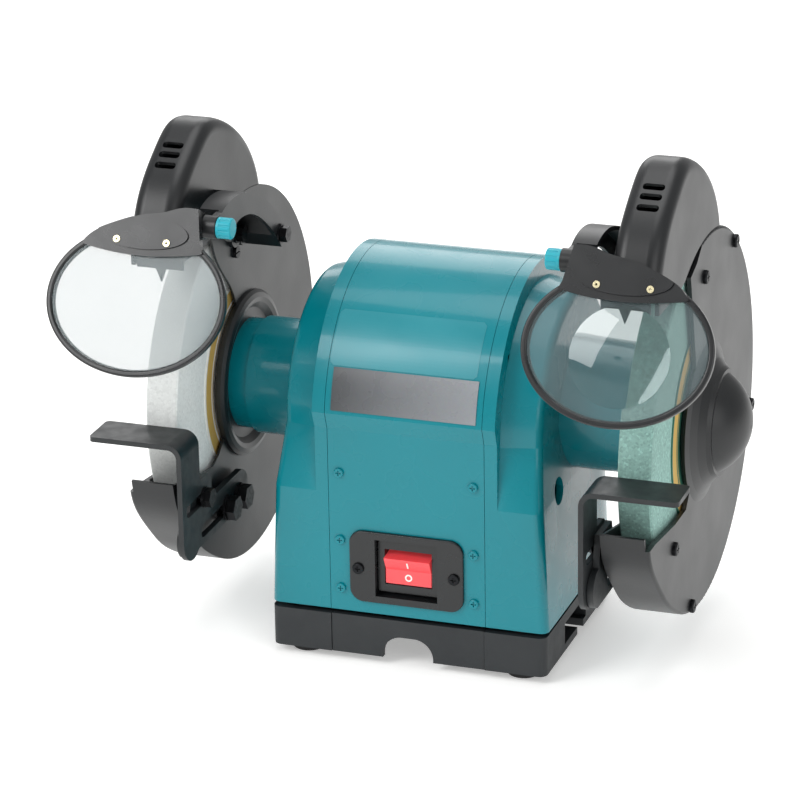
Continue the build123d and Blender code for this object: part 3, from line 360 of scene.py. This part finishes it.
def polished_steel():
    """Through-hardened bearing steel, ground and polished: bright and hard-edged."""
    return coated(
        "ground_bearing_steel",
        linear("#C4C6C8"),
        patch=3 * MM,
        spread=0.05,
        roughness=(0.10, 0.18),
        dimple=(1.0 * MM, 0.01 * MM, 0.2),
        Metallic=1.0,
    )


def ridged(name, values, pitch, depth, metallic, roughness, direction="X"):
    """A surface with fine parallel lines, from turning, stacking or winding."""
    made, tree, shader, place = new_material(name)
    lines = add_node(
        tree,
        "ShaderNodeTexWave",
        {"Vector": place, "Scale": math.tau / 20 / pitch, "Distortion": 0.4, "Detail": 1.0},
        bands_direction=direction,
    )
    bump = add_node(
        tree, "ShaderNodeBump", {"Height": lines.outputs["Fac"], "Distance": depth, "Strength": 0.7}
    )
    mix = add_node(tree, "ShaderNodeMix", {"Factor": lines.outputs["Fac"]}, data_type="RGBA")
    mix.inputs["A"].default_value = shade(values, 0.7)
    mix.inputs["B"].default_value = shade(values, 1.1)
    tree.links.new(mix.outputs["Result"], shader.inputs["Base Color"])
    tree.links.new(patchy_value(tree, place, *roughness, 10 * MM), shader.inputs["Roughness"])
    tree.links.new(bump.outputs["Normal"], shader.inputs["Normal"])
    shader.inputs["Metallic"].default_value = metallic
    return made


def turned_steel():
    """Bright steel from the lathe: rings of fine tool marks round the shaft."""
    return ridged("turned_steel", linear("#B4B6B8"), 1.5 * MM, 0.02 * MM, 1.0, (0.28, 0.38))


def stacked_laminations():
    """Punched electrical steel, stacked: dark edges in fine layers, drawn coarse enough to show."""
    return ridged("stacked_electrical_steel", linear("#4A4A4C"), 1.5 * MM, 0.10 * MM, 1.0, (0.45, 0.60))


def enamelled_copper():
    """Varnished copper wire, wound: round strands side by side, glossy and amber."""
    copper = linear("#B5622E")
    return ridged("varnished_copper_wire", copper, 1.6 * MM, 0.30 * MM, 0.8, (0.25, 0.35), "DIAGONAL")


def abrasive(name, values, dark, bright, grit):
    """A vitrified grinding wheel: packed grains with open pores, no gloss, a few facets that catch light."""
    made, tree, shader, place = new_material(name)
    grains = add_node(tree, "ShaderNodeTexVoronoi", {"Vector": place, "Scale": 1 / grit, "Randomness": 1.0})
    speck = add_node(tree, "ShaderNodeSeparateColor", {"Color": grains.outputs["Color"]})
    ramp = add_node(tree, "ShaderNodeValToRGB", {"Fac": speck.outputs["Red"]})
    stops = ramp.color_ramp.elements
    stops[0].position = 0.0
    stops[0].color = shade(values, dark)
    stops[1].position = 1.0
    stops[1].color = shade(values, bright)
    stops.new(0.25).color = shade(values, 0.5 + dark / 2)
    stops.new(0.8).color = rgba(values)
    pores = add_node(
        tree, "ShaderNodeTexNoise", {"Vector": place, "Scale": 0.6 / grit, "Detail": 4.0, "Roughness": 0.7}
    )
    height = add_node(
        tree, "ShaderNodeMath", {0: pores.outputs["Fac"], 1: grains.outputs["Distance"]}, operation="SUBTRACT"
    )
    bump = add_node(
        tree, "ShaderNodeBump", {"Height": height.outputs["Value"], "Distance": grit / 8, "Strength": 0.5}
    )
    tree.links.new(ramp.outputs["Color"], shader.inputs["Base Color"])
    tree.links.new(patchy_value(tree, place, 0.80, 0.95, 6 * grit), shader.inputs["Roughness"])
    tree.links.new(bump.outputs["Normal"], shader.inputs["Normal"])
    shader.inputs["IOR"].default_value = 1.76
    return made


def printed_card(scene):
    """Blotting card, printed: a green field on the right and white on the left, inside a gold border."""
    made, tree, shader, place = new_material("printed_blotting_card")
    apart = add_node(tree, "ShaderNodeSeparateXYZ", {"Vector": place})
    rise = add_node(tree, "ShaderNodeMath", {0: apart.outputs["Z"], 1: AXIS.z}, operation="SUBTRACT")
    flat = add_node(tree, "ShaderNodeCombineXYZ", {"X": apart.outputs["Y"], "Y": rise.outputs["Value"]})
    radius = add_node(tree, "ShaderNodeVectorMath", {0: flat.outputs["Vector"]}, operation="LENGTH")
    field_low, field_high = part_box("wheel_blotters")
    outer = (field_high.z - field_low.z) / 2
    share = add_node(tree, "ShaderNodeMath", {0: radius.outputs["Value"], 1: outer}, operation="DIVIDE")
    side = add_node(tree, "ShaderNodeMath", {0: apart.outputs["X"], 1: 0.0}, operation="GREATER_THAN")
    field = add_node(tree, "ShaderNodeMix", {"Factor": side.outputs["Value"]}, data_type="RGBA")
    field.inputs["A"].default_value = rgba(linear("#E9E8E2"))
    field.inputs["B"].default_value = rgba(linear("#2F6B58"))
    rings = add_node(tree, "ShaderNodeValToRGB", {"Fac": share.outputs["Value"]})
    rings.color_ramp.interpolation = "CONSTANT"
    stops = rings.color_ramp.elements
    stops[0].color = (0, 0, 0, 1)
    stops[1].position = BROAD_BORDER[0]
    stops[1].color = (1, 1, 1, 1)
    stops.new(THIN_RING[0]).color = (1, 1, 1, 1)
    stops.new(THIN_RING[1]).color = (0, 0, 0, 1)
    stops.new(BROAD_BORDER[1]).color = (0, 0, 0, 1)
    printed = add_node(tree, "ShaderNodeMix", {"Factor": rings.outputs["Color"]}, data_type="RGBA")
    tree.links.new(field.outputs["Result"], printed.inputs["A"])
    printed.inputs["B"].default_value = rgba(scene.grinder_colours.gold)
    tree.links.new(printed.outputs["Result"], shader.inputs["Base Color"])
    tree.links.new(patchy_value(tree, place, 0.55, 0.75, 8 * MM), shader.inputs["Roughness"])
    tree.links.new(dimpled(tree, place, 1.4 * MM, 0.04 * MM, 0.5), shader.inputs["Normal"])
    return made


def clear_sheet(scene):
    """Clear polycarbonate sheet: a faint grey-blue veil with a gloss over it."""
    made, tree, shader, place = new_material("clear_polycarbonate_sheet")
    tree.links.new(
        patchy_colour(tree, place, scene.grinder_colours.lens, 30 * MM, 0.04), shader.inputs["Base Color"]
    )
    tree.links.new(patchy_value(tree, place, 0.04, 0.10, 20 * MM), shader.inputs["Roughness"])
    shader.inputs["IOR"].default_value = 1.58
    shader.inputs["Alpha"].default_value = 0.34
    return made


def ground_lens(scene):
    """Cast acrylic magnifier: water-clear, bending what lies behind it."""
    made, tree, shader, place = new_material("cast_acrylic_lens")
    tree.links.new(patchy_value(tree, place, 0.01, 0.03, 20 * MM), shader.inputs["Roughness"])
    shader.inputs["Base Color"].default_value = rgba(linear("#E8F2F2"))
    shader.inputs["IOR"].default_value = 1.49
    shader.inputs["Transmission Weight"].default_value = 1.0
    return made


def printed_plate(scene):
    """Screen-printed polyester plate: a grey that runs from dark to light across it, under a satin film."""
    made, tree, shader, place = new_material("printed_polyester_plate")
    apart = add_node(tree, "ShaderNodeSeparateXYZ", {"Vector": place})
    across = add_node(
        tree,
        "ShaderNodeMapRange",
        {"Value": apart.outputs["X"], "From Min": PLATE_LOW.x, "From Max": PLATE_HIGH.x},
    )
    fade = add_node(tree, "ShaderNodeValToRGB", {"Fac": across.outputs["Result"]})
    stops = fade.color_ramp.elements
    stops[0].color = shade(scene.grinder_colours.plate, 0.35)
    stops[1].color = shade(scene.grinder_colours.plate, 1.3)
    grain = add_node(tree, "ShaderNodeTexNoise", {"Vector": place, "Scale": 1 / (1.5 * MM), "Detail": 2.0})
    mixed = add_node(tree, "ShaderNodeMix", {"Factor": 0.10}, data_type="RGBA", blend_type="OVERLAY")
    tree.links.new(fade.outputs["Color"], mixed.inputs["A"])
    tree.links.new(grain.outputs["Color"], mixed.inputs["B"])
    tree.links.new(mixed.outputs["Result"], shader.inputs["Base Color"])
    tree.links.new(patchy_value(tree, place, 0.24, 0.34, 10 * MM), shader.inputs["Roughness"])
    shader.inputs["IOR"].default_value = 1.57
    return made


def tinted_film(scene):
    """Painted highlight on the drum's enamel: a lighter teal where the key light falls, a little duller than
    the paint round it.
    """
    return coated(
        "tinted_vinyl_film",
        scene.grinder_colours.film,
        patch=30 * MM,
        spread=0.10,
        roughness=(0.28, 0.36),
        dimple=(5 * MM, 0.03 * MM, 0.3),
        IOR=1.5,
        Coat_Weight=0.3,
        Coat_Roughness=0.15,
    )


def white_ink():
    """Pad-printed white ink: flat and slightly chalky."""
    return coated(
        "pad_printed_white_ink",
        linear("#F4F2EE"),
        patch=3 * MM,
        spread=0.03,
        roughness=(0.45, 0.60),
        dimple=(0.8 * MM, 0.02 * MM, 0.4),
    )


def studio_floor(scene):
    """Painted studio floor: pale, even and dull."""
    return coated(
        "matt_studio_paint",
        scene.grinder_colours.floor,
        patch=400 * MM,
        spread=0.01,
        roughness=(0.75, 0.85),
        dimple=(8 * MM, 0.05 * MM, 0.2),
        Emission_Color=rgba(scene.grinder_colours.floor),
        Emission_Strength=0.4,
    )


def finish(names, material):
    """Gives CAD nodes a material."""
    for name in names:
        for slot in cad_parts[name].material_slots:
            slot.material = material


def both(*names):
    """The right and left node of each name."""
    return [f"{side}_{name}" for name in names for side in SIDES]


def mesh_piece(name, mesh_builder, material, body):
    """Makes a new piece from a bmesh and sets it on a body."""
    mesh = bpy.data.meshes.new(name)
    mesh_builder.to_mesh(mesh)
    mesh_builder.free()
    mesh.materials.append(material)
    piece = bpy.data.objects.new(name, mesh)
    bpy.context.scene.collection.objects.link(piece)
    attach(piece, body)
    return piece


class GRINDER_OT_housing(bpy.types.Operator):
    """Paint the motor cover and its end castings, with their screws"""

    bl_idname = "grinder.housing"
    bl_label = "Housing"

    def execute(self, context):
        enamel = gloss_enamel(context.scene)
        finish(["motor_cover", *both("end_casting"), "cover_screws"], enamel)
        finish(["cord_gland"], moulded_rubber())
        return {"FINISHED"}


class GRINDER_OT_labels(bpy.types.Operator):
    """Print the plate on the drum and lay a painted highlight above it: a sheet of lighter teal where the key
    light falls
    """

    bl_idname = "grinder.labels"
    bl_label = "Labels"

    # Angles up the drum from the level of the shaft, and places along it, of the sheet that carries the
    # painted highlight
    FILM_FROM, FILM_TO = math.radians(27.6), math.radians(50.5)
    FILM_LEFT, FILM_RIGHT = -46.0 * MM, 41.5 * MM
    CORNER = 2.0 * MM
    GLUE = 0.05 * MM
    STEPS_ACROSS, STEPS_ROUND = 44, 16

    def execute(self, context):
        finish(["rating_plate"], printed_plate(context.scene))
        drum = COVER_HIGH.z - AXIS.z
        film = bmesh.new()
        layers = []
        for radius in (drum + self.GLUE, drum + context.scene.grinder_sizes.film):
            rows = []
            for i in range(self.STEPS_ACROSS + 1):
                x = self.FILM_LEFT + (self.FILM_RIGHT - self.FILM_LEFT) * i / self.STEPS_ACROSS
                edge = min(x - self.FILM_LEFT, self.FILM_RIGHT - x, self.CORNER)
                inset = self.CORNER - math.sqrt(self.CORNER**2 - (self.CORNER - edge) ** 2)
                low, high = self.FILM_FROM + inset / drum, self.FILM_TO - inset / drum
                angles = [low + (high - low) * j / self.STEPS_ROUND for j in range(self.STEPS_ROUND + 1)]
                rows.append(
                    [
                        film.verts.new((x, AXIS.y - radius * math.cos(a), AXIS.z + radius * math.sin(a)))
                        for a in angles
                    ]
                )
            layers.append(rows)
        for rows in layers:
            for left, right in zip(rows, rows[1:]):
                for j in range(self.STEPS_ROUND):
                    film.faces.new((left[j], right[j], right[j + 1], left[j + 1]))
        rims = [
            (layers[0][0], layers[1][0]),
            (layers[0][-1], layers[1][-1]),
            ([r[0] for r in layers[0]], [r[0] for r in layers[1]]),
            ([r[-1] for r in layers[0]], [r[-1] for r in layers[1]]),
        ]
        for inner, outer in rims:
            for k in range(len(inner) - 1):
                film.faces.new((inner[k], inner[k + 1], outer[k + 1], outer[k]))
        bmesh.ops.recalc_face_normals(film, faces=film.faces)
        # A thin sheet of lighter teal laid on the drum as a painted highlight
        piece = mesh_piece("label_film", film, tinted_film(context.scene), "frame")
        return {"FINISHED"}


class GRINDER_OT_switch(bpy.types.Operator):
    """Finish the switch and print its two marks"""

    bl_idname = "grinder.switch"
    bl_label = "Switch"

    # The key's pivot, its tilt at rest, and the middle and slope of its upper face seen from the pivot
    TILT = math.radians(13)
    FACE_MIDDLE = Vector((0, -7.6, 4.3)) * MM
    FACE_RISE = Vector((0, -2.0, 8.6)).normalized()
    PIVOT = Vector((0, -72.4, 61.0)) * MM
    LINE = 0.9 * MM
    INK = 0.12 * MM
    INK_LIFT = 0.01 * MM
    WELD = 0.001 * MM
    RING_STEPS = 40

    def on_key(self, half, x, rise, proud):
        """A point on the upper (1) or lower (-1) half of the key's hollow face."""
        along = Vector((0, self.FACE_RISE.y, self.FACE_RISE.z * half))
        out = Vector((0, -self.FACE_RISE.z, self.FACE_RISE.y * half))
        middle = Vector((0, self.FACE_MIDDLE.y, self.FACE_MIDDLE.z * half))
        point = middle + Vector((x, 0, 0)) + along * rise * half + out * proud
        return self.PIVOT + Matrix.Rotation(self.TILT, 3, "X") @ point

    def execute(self, context):
        black = moulded_black(context.scene)
        finish(["switch_plate", "switch_body"], black)
        finish(["switch_rocker"], tinted_key(context.scene))
        finish(["switch_screws"], black_oxide())
        ink = white_ink()
        tall = context.scene.grinder_sizes.mark / 2
        self.print_mark("switch_mark_on", 1, ink, self.bar(tall))
        self.print_mark("switch_mark_off", -1, ink, self.ring(tall))
        return {"FINISHED"}

    def bar(self, tall):
        """Inner and outer outline of the upright bar."""
        wide = self.LINE / 2
        outline = [(-wide, -tall), (wide, -tall), (wide, tall), (-wide, tall)]
        return [(0, y) for _, y in outline], outline

    def ring(self, tall):
        """Inner and outer outline of the ring."""
        turns = [math.tau * k / self.RING_STEPS for k in range(self.RING_STEPS)]
        inner = [((tall - self.LINE) * math.cos(t), (tall - self.LINE) * math.sin(t)) for t in turns]
        return inner, [(tall * math.cos(t), tall * math.sin(t)) for t in turns]

    def print_mark(self, name, half, ink, outlines):
        """Lays a closed band of ink between two outlines on one half of the key."""
        mark = bmesh.new()
        levels = [
            [[mark.verts.new(self.on_key(half, x, y, proud)) for x, y in outline] for outline in outlines]
            for proud in (self.INK_LIFT, self.INK)
        ]
        (low_in, low_out), (high_in, high_out) = levels
        count = len(low_out)
        for k in range(count):
            n = (k + 1) % count
            mark.faces.new((low_in[k], low_in[n], low_out[n], low_out[k]))
            mark.faces.new((high_in[k], high_out[k], high_out[n], high_in[n]))
            mark.faces.new((low_out[k], low_out[n], high_out[n], high_out[k]))
            mark.faces.new((low_in[k], high_in[k], high_in[n], low_in[n]))
        bmesh.ops.remove_doubles(mark, verts=mark.verts, dist=self.WELD)
        bmesh.ops.recalc_face_normals(mark, faces=mark.faces)
        mesh_piece(name, mark, ink, "rocker")


class GRINDER_OT_base(bpy.types.Operator):
    """Finish the base, its panel, feet and screws"""

    bl_idname = "grinder.base"
    bl_label = "Base"

    def execute(self, context):
        finish(["base_tray", "base_front_panel"], moulded_base(context.scene))
        finish(["rubber_feet"], moulded_rubber())
        finish(["base_screws"], zinc_plate())
        return {"FINISHED"}


class GRINDER_OT_motor(bpy.types.Operator):
    """Finish the motor, its bearings and its capacitor"""

    bl_idname = "grinder.motor"
    bl_label = "Motor"

    def execute(self, context):
        finish(["stator_core", "rotor"], stacked_laminations())
        finish(["stator_windings"], enamelled_copper())
        finish(["shaft"], turned_steel())
        finish(["bearing_outer_races", "bearing_inner_races", "bearing_balls"], polished_steel())
        finish(["capacitor"], spun_aluminium())
        finish(["stator_cradle", "capacitor_clip"], zinc_plate())
        return {"FINISHED"}


class GRINDER_OT_wheels(bpy.types.Operator):
    """Finish the grinding wheels, their card discs, flanges and nuts"""

    bl_idname = "grinder.wheels"
    bl_label = "Wheels"

    def execute(self, context):
        colours = context.scene.grinder_colours
        grit = context.scene.grinder_sizes.grit
        finish(["left_wheel"], abrasive("vitrified_white_alumina", colours.white_grit, 0.90, 1.03, grit))
        finish(["right_wheel"], abrasive("vitrified_green_carbide", colours.green_grit, 0.72, 1.22, grit))
        finish(["wheel_blotters"], printed_card(context.scene))
        finish(["inner_flanges", "outer_flanges", "spindle_nuts"], zinc_plate())
        return {"FINISHED"}


class GRINDER_OT_guards(bpy.types.Operator):
    """Finish the guards, hoods, hub caps, spark arresters and their screws"""

    bl_idname = "grinder.guards"
    bl_label = "Guards"

    def execute(self, context):
        coat = powder_coat(context.scene)
        finish([*both("guard_body", "outer_cover", "hood", "spark_arrester"), "hub_caps"], coat)
        finish(["guard_screws", "guard_cover_screws"], black_oxide())
        return {"FINISHED"}


class GRINDER_OT_shields(bpy.types.Operator):
    """Finish the eye shields, their brackets, knobs and the magnifier"""

    bl_idname = "grinder.shields"
    bl_label = "Eye shields"

    def execute(self, context):
        finish(both("shield_bracket"), powder_coat(context.scene))
        finish(both("shield_frame"), moulded_black(context.scene))
        finish(both("shield_lens"), clear_sheet(context.scene))
        finish(["magnifier"], ground_lens(context.scene))
        finish(both("shield_eyelets"), eyelet_brass())
        finish(both("shield_knob"), nylon_knob(context.scene))
        finish(["bracket_bolts"], black_oxide())
        return {"FINISHED"}


class GRINDER_OT_rests(bpy.types.Operator):
    """Finish the tool rests, their arms and bolts"""

    bl_idname = "grinder.rests"
    bl_label = "Tool rests"

    def execute(self, context):
        finish(both("tool_rest", "rest_arm"), rest_paint(context.scene))
        finish([*both("rest_bolt"), "arm_bolts"], black_oxide())
        return {"FINISHED"}


class GRINDER_OT_stage(bpy.types.Operator):
    """Lay the floor, hang the soft lights and set the camera"""

    bl_idname = "grinder.stage"
    bl_label = "Studio"

    FLOOR_SIZE = 12.0
    FLOOR_CELLS = 8
    AIR_STRENGTH = 0.45
    AIM = Vector((-31.1, 0.0, 132.9)) * MM
    DISTANCE = 2247.3 * MM
    AZIMUTH, ELEVATION, ROLL = math.radians(19.31), math.radians(20.69), math.radians(-0.95)
    LENS_MM, SENSOR_MM = 171.6, 36.0
    # Each light's name, place in metres, width in metres and power in watts
    LIGHTS = (
        ("key_light", (-1.3, -1.5, 1.7), 1.2, 30.0),
        ("fill_light", (1.7, -1.2, 0.9), 1.4, 10.0),
        ("top_light", (0.1, 0.2, 2.0), 1.4, 16.0),
        ("back_light", (-0.6, 1.7, 1.2), 1.2, 10.0),
    )

    def execute(self, context):
        scene = context.scene
        floor = bmesh.new()
        cells = self.FLOOR_CELLS
        bmesh.ops.create_grid(floor, x_segments=cells, y_segments=cells, size=self.FLOOR_SIZE / 2)
        mesh = bpy.data.meshes.new("studio_floor")
        floor.to_mesh(mesh)
        floor.free()
        mesh.materials.append(studio_floor(scene))
        ground = bpy.data.objects.new("studio_floor", mesh)
        scene.collection.objects.link(ground)
        for name, place, size, power in self.LIGHTS:
            lamp = bpy.data.lights.new(name, "AREA")
            lamp.size = size
            lamp.energy = power
            hung = bpy.data.objects.new(name, lamp)
            hung.location = place
            hung.rotation_euler = (self.AIM - Vector(place)).to_track_quat("-Z", "Y").to_euler()
            scene.collection.objects.link(hung)
        world = bpy.data.worlds.new("studio_air")
        world.use_nodes = True
        glow = world.node_tree.nodes["Background"]
        glow.inputs["Color"].default_value = (1, 1, 1, 1)
        glow.inputs["Strength"].default_value = self.AIR_STRENGTH
        scene.world = world
        scene.view_settings.view_transform = "Standard"
        back = Vector(
            (
                math.sin(self.AZIMUTH) * math.cos(self.ELEVATION),
                -math.cos(self.AZIMUTH) * math.cos(self.ELEVATION),
                math.sin(self.ELEVATION),
            )
        )
        lens = bpy.data.cameras.new("studio_camera")
        lens.lens = self.LENS_MM
        lens.sensor_width = self.SENSOR_MM
        camera = bpy.data.objects.new("studio_camera", lens)
        turn = (-back).to_track_quat("-Z", "Y").to_matrix() @ Matrix.Rotation(self.ROLL, 3, "Z")
        camera.matrix_world = Matrix.Translation(self.AIM + back * self.DISTANCE) @ turn.to_4x4()
        scene.collection.objects.link(camera)
        scene.camera = camera
        return {"FINISHED"}


OPERATORS = (
    GRINDER_OT_stage,
    GRINDER_OT_housing,
    GRINDER_OT_labels,
    GRINDER_OT_switch,
    GRINDER_OT_base,
    GRINDER_OT_motor,
    GRINDER_OT_wheels,
    GRINDER_OT_guards,
    GRINDER_OT_shields,
    GRINDER_OT_rests,
)


class GRINDER_PT_panel(bpy.types.Panel):
    """Lists the grinder's pieces, colours and sizes"""

    bl_idname = "GRINDER_PT_panel"
    bl_label = "Bench grinder"
    bl_space_type = "VIEW_3D"
    bl_region_type = "UI"
    bl_category = "Grinder"

    def draw(self, context):
        for group in (context.scene.grinder_colours, context.scene.grinder_sizes):
            for name in group.bl_rna.properties.keys():
                if name not in ("rna_type", "name"):
                    self.layout.prop(group, name)
        for operator in OPERATORS:
            self.layout.operator(operator.bl_idname)


CLASSES = (GrinderColours, GrinderSizes, *OPERATORS, GRINDER_PT_panel)


def register():
    """Adds the classes and their settings to Blender."""
    for cls in CLASSES:
        bpy.utils.register_class(cls)
    bpy.types.Scene.grinder_colours = bpy.props.PointerProperty(type=GrinderColours)
    bpy.types.Scene.grinder_sizes = bpy.props.PointerProperty(type=GrinderSizes)


def unregister():
    """Takes them away again."""
    del bpy.types.Scene.grinder_sizes
    del bpy.types.Scene.grinder_colours
    for cls in reversed(CLASSES):
        bpy.utils.unregister_class(cls)


def main():
    """Builds the whole scene."""
    register()
    for operator in OPERATORS:
        group, name = operator.bl_idname.split(".")
        getattr(getattr(bpy.ops, group), name)()


if __name__ == "__main__":
    main()
